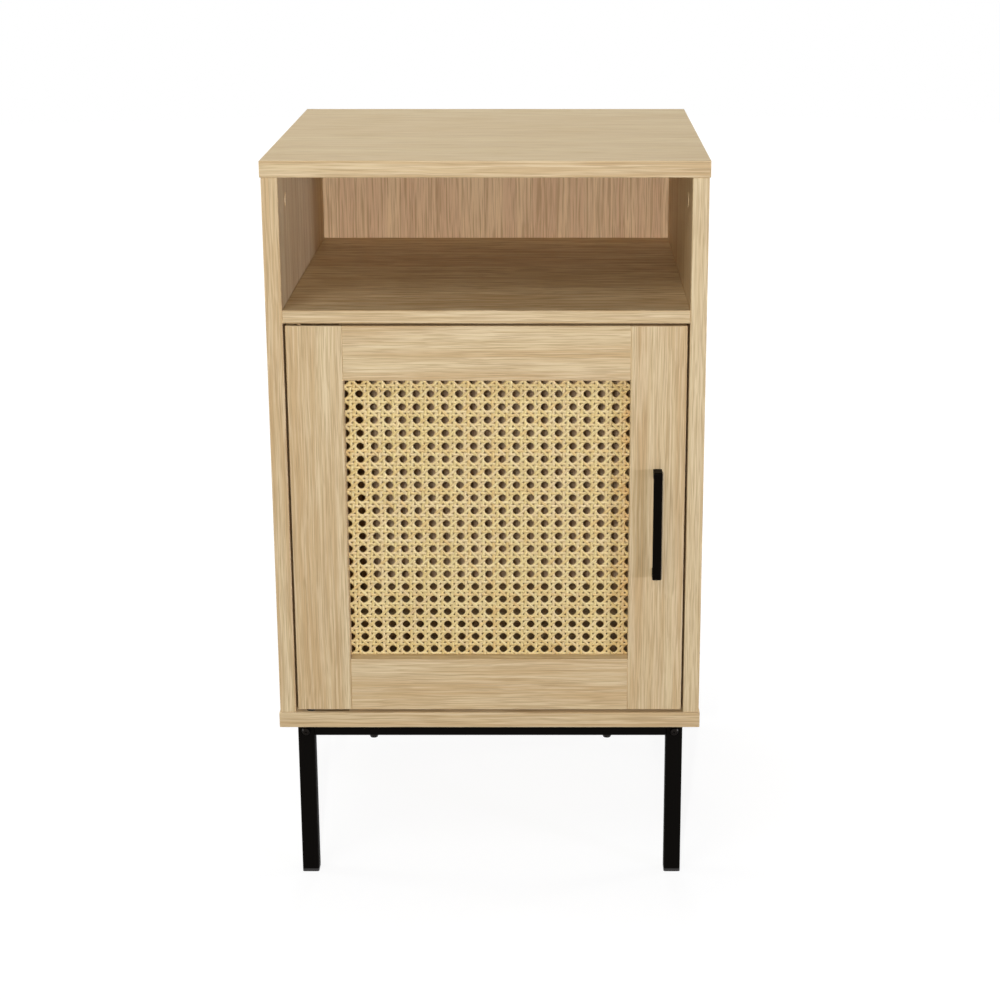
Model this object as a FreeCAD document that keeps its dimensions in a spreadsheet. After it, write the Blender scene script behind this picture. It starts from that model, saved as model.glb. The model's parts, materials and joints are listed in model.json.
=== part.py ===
import FreeCAD, Part
import itertools
import operator
import os
from types import SimpleNamespace

import Sketcher

# Side table: a board carcass with an open compartment over a cane door, on a leg frame
# of square steel tube. Millimetres. +Z is up and the door faces -Y. The origin is on the
# floor, under the middle of the whole object's box with the handle in it.

DIMENSIONS = (
    # carcass
    ("cab_width", 400, "width of the top and bottom panels"),
    ("cab_depth", 390, "depth of the top and bottom panels"),
    ("total_height", 700, "floor to the top of the top panel"),
    ("leg_height", 160, "floor to the underside of the bottom panel"),
    ("board", 15, "thickness of the top, bottom and side panels"),
    ("overhang", 1, "top and bottom panels past the sides, left, right and front"),
    ("shelf_thickness", 12, "thickness of the divider shelf"),
    ("cubby_height", 120, "clear height of the open compartment"),
    ("back_thickness", 3, "thickness of the back panel"),
    ("back_setback", 15, "rear edges to the front face of the back panel"),
    ("groove_depth", 5, "depth of the grooves that hold the back panel"),
    ("arris", 0.5, "chamfer on the edges of boards and door members"),
    ("fit", 0.2, "clearance of a piece that lies loose in its groove or recess"),
    # board fittings
    ("fitting_row", 54, "front and rear edge of a side to the two rows of fittings"),
    ("cam_radius", 6, "cam lock"),
    ("cam_reach", 28, "upper end of a side to the cam's centre"),
    ("cam_skin", 3, "board left behind a cam pocket"),
    ("cam_slot", 7, "width of the slot that takes the head of a cam bolt"),
    ("cover_radius", 6.8, "plastic cover over a cam, against the board"),
    ("cover_face", 6.4, "the same cover at its face"),
    ("cover_thickness", 0.8, "the same"),
    ("bolt_grip", 11, "cam bolt's thread in the face of the other board"),
    ("bolt_radius", 3, "cam bolt's thread and head"),
    ("bolt_neck", 2.2, "cam bolt between them"),
    ("dowel_radius", 3, "wooden dowel"),
    ("dowel_face", 9.5, "dowel in the face of a board"),
    ("dowel_edge", 14.5, "dowel in the edge of a board"),
    ("case_screw", 2.5, "radius of the screws up through the bottom panel into the sides"),
    ("case_screw_head", 4.8, "radius of their countersunk heads"),
    ("case_screw_cone", 3, "height of those heads"),
    ("case_screw_length", 48, "their whole length"),
    # leg frame
    ("tube", 16, "outside of the square tube"),
    ("tube_wall", 1.2, "wall of the tube"),
    ("tube_corner", 1.8, "outside corner radius of the tube"),
    ("leg_inset", 15, "side edges of the bottom panel to the legs"),
    ("leg_setback", 17, "front and rear edges of the bottom panel to the legs"),
    ("bolt_skin", 1.3, "floor of a side rail, inside, to the frame bolt over it"),
    ("screw_spread", 225, "distance between the two mounting screws of a rail"),
    ("screw_radius", 2.5, "frame bolts and mounting screws"),
    ("screw_play", 0.2, "screw or bolt in the hole of a tube wall"),
    ("thread_play", 0.05, "screw in its thread, all round"),
    ("screw_bite", 11, "mounting screw in the bottom panel"),
    ("plug_length", 18, "threaded plug in the end of a side rail"),
    ("head_radius", 4.5, "head of a frame bolt"),
    ("head_height", 2.6, "the same"),
    ("socket_radius", 1.9, "corners of the hexagon socket in that head"),
    ("socket_depth", 1.6, "the same"),
    ("mount_head", 5.4, "head of a mounting screw, against the rail"),
    ("mount_face", 3.6, "the same head at its face"),
    ("mount_height", 4, "the same"),
    ("cap_flange", 3, "foot cap under the leg"),
    ("cap_plug", 12, "foot cap inside the leg"),
    # door
    ("door_thickness", 18, "stiles and rails"),
    ("door_gap", 2, "door to the side panels"),
    ("door_end_gap", 2.5, "door to the bottom panel and to the divider shelf"),
    ("door_recess", 1, "front edges of the sides to the door's face"),
    ("stile_width", 51, "upright member of the door frame"),
    ("rail_width", 51, "cross member of the door frame"),
    ("cane_thickness", 1.2, "cane webbing"),
    ("bead_thickness", 2.8, "beads that hold the cane from behind"),
    ("rebate_width", 6, "rebate round the opening, at the back"),
    ("tenon_length", 22, "tenon of a door rail in a stile"),
    ("tenon_thickness", 6, "the same"),
    ("tenon_shoulder", 9, "edges of the rail to its tenon"),
    # handle
    ("handle_length", 104, "over the posts"),
    ("handle_width", 8, "width of the bar"),
    ("handle_out", 14, "door's face to the front of the bar"),
    ("handle_bar", 6, "front to back thickness of the bar"),
    ("handle_edge", 0.5, "chamfer on the edges of the bar"),
    ("handle_screw", 2, "radius of a handle screw"),
    ("handle_thread", 9, "depth of the thread in a post"),
    ("handle_corner", 1.5, "outside corners of the bridge"),
    ("pan_radius", 4, "head of a handle screw"),
    ("pan_height", 2.4, "the same"),
    # pivot hinges
    ("pivot_side", 12, "left edge of the door to the pivot axis"),
    ("pivot_back", 6.5, "door's face to the pivot axis"),
    ("pin_radius", 2, "hinge pin"),
    ("pin_play", 0.05, "pin in the door leaf, all round"),
    ("leaf_width", 9, "width of a hinge leaf"),
    ("leaf_length", 36, "pivot axis to the far end of a leaf"),
    ("leaf_thickness", 2.4, "thickness of a leaf"),
    ("leaf_screw_first", 14, "pivot axis to the nearer screw"),
    ("leaf_screw_step", 14, "nearer screw to the farther screw"),
    ("washer_play", 0.1, "washer to the parts above and below it"),
    ("screw_hole", 1.6, "radius of a countersunk screw hole, at the wood"),
    ("screw_sink", 2.8, "radius of its countersink"),
    # magnetic catch
    ("catch_side", 82, "right edge of the door to the middle of the catch"),
    ("catch_length", 46, "over the ears"),
    ("catch_block", 30, "length of the block between the ears"),
    ("catch_depth", 14, "front to back"),
    ("catch_height", 16, "under the divider shelf"),
    ("catch_ear", 3, "thickness of an ear"),
    ("catch_gap", 0.3, "pole plates to the strike plate"),
    ("pole_thickness", 1.2, "steel plate each side of the magnet"),
    ("pole_out", 0.8, "pole plates past the front of the housing"),
    ("magnet_height", 5, "between the pole plates"),
    ("magnet_length", 24, "magnet and pole plates"),
    ("magnet_depth", 10, "magnet and pole plates inside the housing"),
    ("strike_length", 38, "steel strike plate on the door"),
    ("strike_height", 10, "the same"),
    ("strike_thickness", 1.6, "the same"),
)

OPERATIONS = {"+": operator.add, "-": operator.sub, "*": operator.mul, "/": operator.truediv}


class Size:
    """A size worked out from the sheet: its formula, and its value at this moment."""

    def __init__(self, formula, value):
        self.formula = formula
        self.value = value

    def __add__(self, other):
        return joined(self, "+", other)

    def __sub__(self, other):
        return joined(self, "-", other)

    def __mul__(self, other):
        return joined(self, "*", other)

    def __truediv__(self, other):
        return joined(self, "/", other)

    def __neg__(self):
        return joined(0, "-", self)


def as_size(number):
    return number if isinstance(number, Size) else Size(str(number), number)


def joined(left, sign, right):
    left, right = as_size(left), as_size(right)
    return Size(
        f"({left.formula} {sign} {right.formula})",
        OPERATIONS[sign](left.value, right.value),
    )


# ---------------------------------------------------------------- document and sheet

doc = FreeCAD.newDocument("side_table")
sheet = doc.addObject("Spreadsheet::Sheet", "dims")
sheet.Label = "driving dimensions"
for row, (alias, number, meaning) in enumerate(DIMENSIONS, 1):
    sheet.set(f"A{row}", alias)
    sheet.set(f"B{row}", str(number))
    sheet.setAlias(f"B{row}", alias)
    sheet.set(f"C{row}", meaning)
doc.recompute()

d = SimpleNamespace(**{alias: Size(f"dims.{alias}", number) for alias, number, _ in DIMENSIONS})
nodes = []

# ---------------------------------------------------------------- shared places

half_width = d.cab_width / 2
handle_proud = d.handle_out - d.door_recess - d.overhang
front = -(d.cab_depth + handle_proud) / 2 + handle_proud
rear = front + d.cab_depth

side_out = half_width - d.overhang
side_in = side_out - d.board
side_mid = side_in + d.board / 2
side_front = front + d.overhang

base = d.leg_height
floor = base + d.board
roof = d.total_height - d.board
shelf_top = roof - d.cubby_height
shelf_low = shelf_top - d.shelf_thickness
shelf_mid = shelf_low + d.shelf_thickness / 2
back_front = rear - d.back_setback
back_rear = back_front + d.back_thickness
shelf_rear = back_front - d.fit

door_left = -(side_in - d.door_gap)
door_right = side_in - d.door_gap
door_front = side_front + d.door_recess
door_back = door_front + d.door_thickness
door_low = floor + d.door_end_gap
door_high = shelf_low - d.door_end_gap
door_mid = (door_low + door_high) / 2
opening_left = door_left + d.stile_width
opening_right = door_right - d.stile_width
opening_low = door_low + d.rail_width
opening_high = door_high - d.rail_width
cane_back = door_back - d.bead_thickness
cane_front = cane_back - d.cane_thickness

leg_out = half_width - d.leg_inset
leg_in = leg_out - d.tube
leg_mid = leg_out - d.tube / 2
rail_low = base - d.tube
front_leg = front + d.leg_setback
rear_leg = rear - d.leg_setback - d.tube
bore = d.tube - d.tube_wall * 2

pivot_x = door_left + d.pivot_side
pivot_y = door_front + d.pivot_back

fitting_rows = (side_front + d.fitting_row, rear - d.fitting_row)
middle_row = (side_front + rear) / 2


def both(low, high, side):
    """The same stretch of X on the right (1) or, mirrored, on the left (-1)."""
    return (low, high) if side > 0 else (-high, -low)


def one(x, side):
    return x if side > 0 else -x


# ---------------------------------------------------------------- tools of the drawing

UP = FreeCAD.Vector(0, 0, 1)
TOWARDS = {
    "+X": FreeCAD.Vector(1, 0, 0),
    "-X": FreeCAD.Vector(-1, 0, 0),
    "+Y": FreeCAD.Vector(0, 1, 0),
    "-Y": FreeCAD.Vector(0, -1, 0),
    "+Z": FreeCAD.Vector(0, 0, 1),
    "-Z": FreeCAD.Vector(0, 0, -1),
}
# The plane that each direction leaves at right angles. The XZ plane's own normal is -Y.
PLANES = {"X": "YZ_Plane", "Y": "XZ_Plane", "Z": "XY_Plane"}


def bind(item, path, size):
    item.setExpression(path, as_size(size).formula)


def place(item, point, towards="+Z"):
    """Stands an item at a point, with its own Z along one of the table's axes."""
    item.Placement = FreeCAD.Placement(FreeCAD.Vector(), FreeCAD.Rotation(UP, TOWARDS[towards]))
    for letter, size in zip("xyz", point):
        bind(item, f"Placement.Base.{letter}", size)


def new_body(name):
    body = doc.addObject("PartDesign::Body", name)
    body.Label = name
    return body


def keep(item, name):
    """Makes an item a sub-part of the table: its label names its file."""
    item.Label = name
    nodes.append(item)


def origin_part(body, role):
    return next(item for item in body.Origin.OriginFeatures if item.Role == role)


def hold(sketch, line, point, corner):
    """Fixes a point of a sketch by its two coordinates, which follow the sheet."""
    for kind, axis, size in zip(("DistanceX", "DistanceY"), (-2, -1), corner):
        size = as_size(size)
        if size.formula == "0":
            sketch.addConstraint(Sketcher.Constraint("PointOnObject", line, point, axis))
            continue
        index = sketch.addConstraint(Sketcher.Constraint(kind, -1, 1, line, point, size.value))
        name = f"{kind}{line}"
        sketch.renameConstraint(index, name)
        bind(sketch, f"Constraints.{name}", size)


def draw_outline(sketch, corners):
    """A closed outline of straight lines."""
    first = sketch.GeometryCount
    points = [FreeCAD.Vector(as_size(u).value, as_size(v).value) for u, v in corners]
    for start, end in zip(points, points[1:] + points[:1]):
        sketch.addGeometry(Part.LineSegment(start, end))
    for step, corner in enumerate(corners):
        following = first + (step + 1) % len(corners)
        sketch.addConstraint(Sketcher.Constraint("Coincident", first + step, 2, following, 1))
        hold(sketch, first + step, 1, corner)


def rectangle(u, v):
    return ((u[0], v[0]), (u[1], v[0]), (u[1], v[1]), (u[0], v[1]))


def new_sketch(body, role):
    sketch = body.newObject("Sketcher::SketchObject", f"{body.Name}_sketch")
    sketch.AttachmentSupport = (origin_part(body, role), [""])
    sketch.MapMode = "FlatFace"
    return sketch


def extrude(body, corners, along, low, high):
    """Pads an outline from low to high along X, Y or Z."""
    sketch = new_sketch(body, PLANES[along])
    backwards = along == "Y"
    bind(sketch, "AttachmentOffset.Base.z", -low if backwards else low)
    draw_outline(sketch, corners)
    pad = body.newObject("PartDesign::Pad", f"{body.Name}_pad")
    pad.Profile = sketch
    pad.Reversed = backwards
    bind(pad, "Length", high - low)
    doc.recompute()
    return pad


def turn(body, corners):
    """Revolves an outline of (radius, height) corners about the body's Z axis."""
    sketch = new_sketch(body, "XZ_Plane")
    draw_outline(sketch, corners)
    feature = body.newObject("PartDesign::Revolution", f"{body.Name}_turned")
    feature.Profile = sketch
    feature.ReferenceAxis = (origin_part(body, "Z_Axis"), [""])
    feature.Angle = 360
    doc.recompute()
    return feature


def all_edges(feature):
    return [f"Edge{number}" for number in range(1, len(feature.Shape.Edges) + 1)]


def edges_where(feature, test):
    return [name for name, edge in zip(all_edges(feature), feature.Shape.Edges) if test(edge)]


def chamfer(body, feature, edges, size):
    cut = body.newObject("PartDesign::Chamfer", f"{body.Name}_chamfer")
    cut.Base = (feature, edges)
    bind(cut, "Size", size)
    doc.recompute()
    return cut


def fillet(body, feature, edges, radius):
    rounded = body.newObject("PartDesign::Fillet", f"{body.Name}_fillet")
    rounded.Base = (feature, edges)
    bind(rounded, "Radius", radius)
    doc.recompute()
    return rounded


def cut_box(body, x, y, z):
    """Takes a box out of a body. x, y and z are (low, high) pairs."""
    box = body.newObject("PartDesign::SubtractiveBox", f"{body.Name}_recess")
    for side, (low, high) in zip(("Length", "Width", "Height"), (x, y, z)):
        bind(box, side, high - low)
    place(box, (x[0], y[0], z[0]))


def drill(body, point, towards, radius, depth):
    """Round hole from a point along an axis."""
    hole = body.newObject("PartDesign::SubtractiveCylinder", f"{body.Name}_hole")
    bind(hole, "Radius", radius)
    bind(hole, "Height", depth)
    place(hole, point, towards)


def add_box(body, x, y, z):
    box = body.newObject("PartDesign::AdditiveBox", f"{body.Name}_block")
    for side, (low, high) in zip(("Length", "Width", "Height"), (x, y, z)):
        bind(box, side, high - low)
    place(box, (x[0], y[0], z[0]))


def add_cylinder(body, point, towards, radius, length):
    boss = body.newObject("PartDesign::AdditiveCylinder", f"{body.Name}_round")
    bind(boss, "Radius", radius)
    bind(boss, "Height", length)
    place(boss, point, towards)
    doc.recompute()
    return boss


def countersink(body, point, towards, wide, narrow, depth):
    """Conical seat of a screw, with its wide end at the point."""
    cone = body.newObject("PartDesign::SubtractiveCone", f"{body.Name}_countersink")
    bind(cone, "Radius1", wide)
    bind(cone, "Radius2", narrow)
    bind(cone, "Height", depth)
    place(cone, point, towards)


def group(name, pattern, places):
    """One node of equal loose pieces: links to one pattern, each set in its place."""
    links = []
    for point, towards in places:
        link = doc.addObject("App::Link", f"{name}_link")
        link.LinkedObject = pattern
        place(link, point, towards)
        links.append(link)
    compound = doc.addObject("Part::Compound", name)
    compound.Links = links
    keep(compound, name)


def cut_board(name, x, y, z):
    """A board cut from sheet, with a fine chamfer on every edge."""
    body = new_body(name)
    pad = extrude(body, rectangle(x, y), "Z", z[0], z[1])
    chamfer(body, pad, all_edges(pad), d.arris)
    keep(body, name)
    return body


# ---------------------------------------------------------------- places of the fittings

side_ends = [(one(side_mid, side), row) for side, row in itertools.product((-1, 1), fitting_rows)]
cam_depth = d.board - d.cam_skin
case_screw_bite = d.case_screw_length - d.board
screw_columns = (-d.screw_spread / 2, d.screw_spread / 2)
rail_rows = (front_leg + d.tube / 2, rear_leg + d.tube / 2)
bolt_height = rail_low + d.tube_wall + d.bolt_skin + d.screw_radius
leaf_screws = (pivot_x + d.leaf_screw_first, pivot_x + d.leaf_screw_first + d.leaf_screw_step)
handle_x = door_right - d.stile_width / 2
handle_low = door_mid - d.handle_length / 2
handle_high = door_mid + d.handle_length / 2
handle_posts = (handle_low + d.handle_width / 2, handle_high - d.handle_width / 2)
catch_x = door_right - d.catch_side
pole_mid = shelf_low - d.catch_height / 2
strike_back = door_back + d.strike_thickness
catch_front = strike_back + d.catch_gap + d.pole_out
catch_rear = catch_front + d.catch_depth
catch_screw_x = d.catch_block / 2 + (d.catch_length - d.catch_block) / 4
catch_mid = catch_front + d.catch_depth / 2
pole_front = strike_back + d.catch_gap


def leaf_recess(body, face, towards):
    """Recess for a hinge leaf, let into a face."""
    radius = d.leaf_width / 2 + d.fit / 2
    depth = d.leaf_thickness
    low, high = (face, face + depth) if towards == "+Z" else (face - depth, face)
    far = pivot_x + d.leaf_length + d.fit / 2
    cut_box(body, (pivot_x, far), (pivot_y - radius, pivot_y + radius), (low, high))
    drill(body, (pivot_x, pivot_y, low), "+Z", radius, depth)


# ---------------------------------------------------------------- carcass


def end_panel(name, z, groove):
    """Top or bottom panel, grooved on its inner face for the back."""
    body = cut_board(name, (-half_width, half_width), (front, rear), z)
    reach = side_in + d.groove_depth
    cut_box(body, (-reach, reach), (back_front - d.fit / 2, back_rear + d.fit / 2), groove)
    return body


def make_top_panel():
    body = end_panel("top_panel", (roof, d.total_height), (roof, roof + d.groove_depth))
    for x, y in side_ends:
        drill(body, (x, y, roof), "+Z", d.bolt_radius + d.thread_play, d.bolt_grip)
    for side in (-1, 1):
        point = (one(side_mid, side), middle_row, roof)
        drill(body, point, "+Z", d.dowel_radius + d.thread_play, d.dowel_face + d.fit)


def make_bottom_panel():
    body = end_panel("bottom_panel", (base, floor), (floor - d.groove_depth, floor))
    leaf_recess(body, floor, "-Z")
    thread = d.case_screw + d.thread_play
    for x, y in side_ends:
        drill(body, (x, y, base), "+Z", thread, d.board)
        wide = d.case_screw_head + d.thread_play
        countersink(body, (x, y, base), "+Z", wide, thread, d.case_screw_cone)
    for x, y in itertools.product(screw_columns, rail_rows):
        drill(body, (x, y, base), "+Z", d.screw_radius + d.thread_play, d.screw_bite + d.fit)


def make_side_panel(name, side):
    """Side panel: cams and a dowel at the top, screws at the bottom, dowels for the shelf."""
    body = cut_board(name, both(side_in, side_out, side), (side_front, rear), (floor, roof))
    inner, middle = one(side_in, side), one(side_mid, side)
    outwards = "+X" if side > 0 else "-X"
    dowel_bore = d.dowel_radius + d.thread_play
    for y in fitting_rows:
        cam_bore = d.cam_radius + d.fit / 2
        drill(body, (inner, y, roof - d.cam_reach), outwards, cam_bore, cam_depth)
        drill(body, (middle, y, roof), "-Z", d.bolt_radius + d.fit, d.cam_reach)
        depth = case_screw_bite + d.fit
        drill(body, (middle, y, floor), "+Z", d.case_screw + d.thread_play, depth)
        drill(body, (inner, y, shelf_mid), outwards, dowel_bore, d.dowel_face + d.fit)
    drill(body, (middle, middle_row, roof), "-Z", dowel_bore, d.dowel_edge + d.fit)
    groove = both(side_in, side_in + d.groove_depth, side)
    cut_box(body, groove, (back_front - d.fit / 2, back_rear + d.fit / 2), (floor, roof))


def make_divider_shelf():
    z = (shelf_low, shelf_top)
    body = cut_board("divider_shelf", (-side_in, side_in), (side_front, shelf_rear), z)
    for side, y in itertools.product((-1, 1), fitting_rows):
        point = (one(side_in, side), y, shelf_mid)
        inwards = "-X" if side > 0 else "+X"
        drill(body, point, inwards, d.dowel_radius + d.thread_play, d.dowel_edge + d.fit)
    leaf_recess(body, shelf_low, "+Z")


def make_back_panel():
    body = new_body("back_panel")
    reach = d.groove_depth - d.fit
    x = (-(side_in + reach), side_in + reach)
    extrude(body, rectangle(x, (back_front, back_rear)), "Z", floor - reach, roof + reach)
    keep(body, "back_panel")


# ---------------------------------------------------------------- board fittings


def make_cams():
    """Cam locks in the sides, slotted for the bolts' heads, and a plastic cover on each."""
    cam_places = [
        ((one(side_in, side), y, roof - d.cam_reach), "+X" if side > 0 else "-X")
        for side, y in itertools.product((-1, 1), fitting_rows)
    ]
    cam = new_body("cam_pattern")
    height = cam_depth - d.fit
    add_cylinder(cam, (0, 0, 0), "+Z", d.cam_radius, height)
    half = d.cam_slot / 2
    middle = d.board / 2
    cut_box(cam, (-d.cam_radius, d.cam_radius), (-half, half), (middle - half, middle + half))
    group("cam_locks", cam, cam_places)

    cover = new_body("cam_cover_pattern")
    turn(
        cover,
        (
            (0, -d.cover_thickness),
            (d.cover_face, -d.cover_thickness),
            (d.cover_radius, 0),
            (0, 0),
        ),
    )
    group("cam_covers", cover, cam_places)


def make_cam_bolts():
    """Bolts in the top panel, each with its head in a cam of a side."""
    bolt = new_body("cam_bolt_pattern")
    turn(
        bolt,
        (
            (0, -d.bolt_grip + d.fit),
            (d.bolt_radius, -d.bolt_grip + d.fit),
            (d.bolt_radius, 0),
            (d.bolt_neck, 0),
            (d.bolt_neck, d.cam_reach - d.bolt_radius),
            (d.bolt_radius, d.cam_reach),
            (0, d.cam_reach),
        ),
    )
    group("cam_bolts", bolt, [((x, y, roof), "-Z") for x, y in side_ends])


def make_case_screws():
    """Countersunk screws up through the bottom panel into the ends of the sides."""
    screw = new_body("case_screw_pattern")
    turn(
        screw,
        (
            (0, 0),
            (d.case_screw_head, 0),
            (d.case_screw, d.case_screw_cone),
            (d.case_screw, d.case_screw_length),
            (0, d.case_screw_length),
        ),
    )
    group("case_screws", screw, [((x, y, base), "+Z") for x, y in side_ends])


def make_panel_dowels():
    """Dowels between the sides and the top panel, and between the sides and the shelf."""
    dowel = new_body("panel_dowel_pattern")
    long_side = d.dowel_face + d.dowel_edge
    add_cylinder(dowel, (0, 0, -d.dowel_face), "+Z", d.dowel_radius, long_side)
    places = [((one(side_mid, side), middle_row, roof), "-Z") for side in (-1, 1)]
    for side, y in itertools.product((-1, 1), fitting_rows):
        inwards = "-X" if side > 0 else "+X"
        places.append(((one(side_in, side), y, shelf_mid), inwards))
    group("panel_dowels", dowel, places)


# ---------------------------------------------------------------- leg frame


def square(side, y_low):
    """Section of a tube of the leg frame, seen from above, on the left or right."""
    return both(leg_in, leg_out, side), (y_low, y_low + d.tube)


def make_tube(name, along, x, y, z):
    """Square tube with rounded corners, hollow along its length."""
    spans = {"X": x, "Y": y, "Z": z}
    low, high = spans.pop(along)
    u, v = spans.values()
    body = new_body(name)
    pad = extrude(body, rectangle(u, v), along, low, high)
    direction = TOWARDS[f"+{along}"]
    long_edges = edges_where(pad, lambda edge: abs(edge.tangentAt(0).dot(direction)) > 0.9)
    fillet(body, pad, long_edges, d.tube_corner)
    bores = {"X": x, "Y": y, "Z": z}
    for axis in bores:
        if axis != along:
            bores[axis] = (bores[axis][0] + d.tube_wall, bores[axis][1] - d.tube_wall)
    cut_box(body, *bores.values())
    keep(body, name)
    return body


def make_leg(name, side, y_low, face, towards):
    """Leg, with a bolt hole from its outer face right through."""
    x, y = square(side, y_low)
    body = make_tube(name, "Z", x, y, (d.cap_flange, base))
    point = (one(leg_mid, side), face, bolt_height)
    drill(body, point, towards, d.screw_radius + d.screw_play, d.tube)


def make_cross_rail(name, y_low):
    """Front or rear rail, butted between the legs and drilled for the mounting screws."""
    body = make_tube(name, "X", (-leg_in, leg_in), (y_low, y_low + d.tube), (rail_low, base))
    for x in screw_columns:
        point = (x, y_low + d.tube / 2, rail_low)
        drill(body, point, "+Z", d.screw_radius + d.screw_play, d.tube)


def make_side_rail(name, side):
    """Side rail, between the front and the rear leg."""
    x = both(leg_in, leg_out, side)
    make_tube(name, "Y", x, (front_leg + d.tube, rear_leg), (rail_low, base))


def make_rail_plugs():
    """Threaded plugs in the ends of the side rails, bored below their middle for the bolt."""
    body = new_body("rail_plug_pattern")
    half = bore / 2 - d.thread_play
    extrude(body, rectangle((-half, half), (-half, half)), "Z", as_size(0), d.plug_length)
    below = base - d.tube / 2 - bolt_height
    drill(body, (0, below, 0), "+Z", d.screw_radius + d.thread_play, d.plug_length)
    starts = (front_leg + d.tube, rear_leg - d.plug_length)
    places = [
        ((one(leg_mid, side), y, base - d.tube / 2), "+Y")
        for side, y in itertools.product((-1, 1), starts)
    ]
    group("rail_plugs", body, places)


def make_frame_bolts():
    """Button-head bolts through the legs into the side rails' plugs."""
    body = new_body("frame_bolt_pattern")
    length = d.tube + d.plug_length - d.screw_radius
    turn(
        body,
        (
            (0, -d.head_height),
            (d.head_radius * 0.7, -d.head_height),
            (d.head_radius, 0),
            (d.screw_radius, 0),
            (d.screw_radius, length),
            (0, length),
        ),
    )
    socket = body.newObject("PartDesign::SubtractivePrism", "frame_bolt_socket")
    socket.Polygon = 6
    bind(socket, "Circumradius", d.socket_radius)
    bind(socket, "Height", d.socket_depth)
    place(socket, (0, 0, -d.head_height))
    faces = ((front_leg, "+Y"), (rear_leg + d.tube, "-Y"))
    places = [
        ((one(leg_mid, side), y, bolt_height), towards)
        for side, (y, towards) in itertools.product((-1, 1), faces)
    ]
    group("frame_bolts", body, places)


def make_mounting_screws():
    """Pan-head screws up through the front and rear rails into the bottom panel."""
    screw = new_body("mounting_screw_pattern")
    length = d.tube + d.screw_bite
    turn(
        screw,
        (
            (0, -d.mount_height),
            (d.mount_face, -d.mount_height),
            (d.mount_head, 0),
            (d.screw_radius, 0),
            (d.screw_radius, length),
            (0, length),
        ),
    )
    spots = itertools.product(screw_columns, rail_rows)
    group("mounting_screws", screw, [((x, y, rail_low), "+Z") for x, y in spots])


def make_foot_cap(name, side, y_low):
    """Plastic foot: a flange as wide as the leg, and a plug inside it."""
    x, y = square(side, y_low)
    body = new_body(name)
    flange = extrude(body, rectangle(x, y), "Z", as_size(0), d.cap_flange)
    upright = edges_where(flange, lambda edge: abs(edge.tangentAt(0).z) > 0.9)
    fillet(body, flange, upright, d.tube_corner)
    wall = d.tube_wall + d.thread_play
    plug = ((x[0] + wall, x[1] - wall), (y[0] + wall, y[1] - wall))
    add_box(body, *plug, (d.cap_flange, d.cap_flange + d.cap_plug))
    keep(body, name)


def make_leg_frame():
    rows = (("front", front_leg, "+Y", front_leg), ("rear", rear_leg, "-Y", rear_leg + d.tube))
    for row, y_low, towards, face in rows:
        for hand, side in (("left", -1), ("right", 1)):
            make_leg(f"{row}_{hand}_leg", side, y_low, face, towards)
            make_foot_cap(f"{row}_{hand}_foot_cap", side, y_low)
        make_cross_rail(f"{row}_rail", y_low)
    make_side_rail("left_side_rail", -1)
    make_side_rail("right_side_rail", 1)
    make_rail_plugs()
    make_frame_bolts()
    make_mounting_screws()


# ---------------------------------------------------------------- door

door_rails = {
    "bottom": (door_low, opening_low),
    "top": (opening_high, door_high),
}


def tenon(z, play):
    """Y and Z of a door rail's tenon, or of its mortise, which has play all round."""
    middle = (door_front + cane_front) / 2
    half = d.tenon_thickness / 2 + play
    inset = d.tenon_shoulder - play
    return (middle - half, middle + half), (z[0] + inset, z[1] - inset)


def make_stile(name, side):
    """Upright of the door frame, mortised for the rails and rebated beside the opening."""
    x = both(opening_right, door_right, side)
    body = cut_board(name, x, (door_front, door_back), (door_low, door_high))
    rebate = both(opening_right, opening_right + d.rebate_width, side)
    z = (opening_low - d.rebate_width, opening_high + d.rebate_width)
    cut_box(body, rebate, (cane_front, door_back), z)
    depth = both(opening_right, opening_right + d.tenon_length + d.fit, side)
    for rail_z in door_rails.values():
        cut_box(body, depth, *tenon(rail_z, d.fit))
    if side > 0:
        for z in handle_posts:
            drill(body, (handle_x, door_front, z), "+Y", d.handle_screw + d.fit, d.door_thickness)
    else:
        leaf_recess(body, door_low, "+Z")
        leaf_recess(body, door_high, "-Z")


def make_door_rail(place_name, rebate):
    """Cross member of the door frame, tenoned and rebated at the back along the opening."""
    z = door_rails[place_name]
    name = f"door_rail_{place_name}"
    body = cut_board(name, (opening_left, opening_right), (door_front, door_back), z)
    cut_box(body, (opening_left, opening_right), (cane_front, door_back), rebate)
    for side in (-1, 1):
        x = both(opening_right, opening_right + d.tenon_length, side)
        add_box(body, x, *tenon(z, as_size(0)))


def make_door_frame():
    make_stile("door_stile_left", -1)
    make_stile("door_stile_right", 1)
    make_door_rail("bottom", (opening_low - d.rebate_width, opening_low))
    make_door_rail("top", (opening_high, opening_high + d.rebate_width))


def make_cane_and_beads():
    """Cane sheet in the rebate, and four mitred beads that hold it."""
    reach = d.rebate_width - d.fit
    x = (opening_left - reach, opening_right + reach)
    z = (opening_low - reach, opening_high + reach)
    cane = new_body("cane_panel")
    extrude(cane, rectangle(x, z), "Y", cane_front, cane_back)
    keep(cane, "cane_panel")

    outer = rectangle(x, z)
    inner = rectangle((x[0] + reach, x[1] - reach), (z[0] + reach, z[1] - reach))
    for number, place_name in enumerate(("bottom", "right", "top", "left")):
        after = (number + 1) % 4
        name = f"cane_bead_{place_name}"
        bead = new_body(name)
        corners = (outer[number], outer[after], inner[after], inner[number])
        extrude(bead, corners, "Y", cane_back, door_back)
        keep(bead, name)


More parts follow.
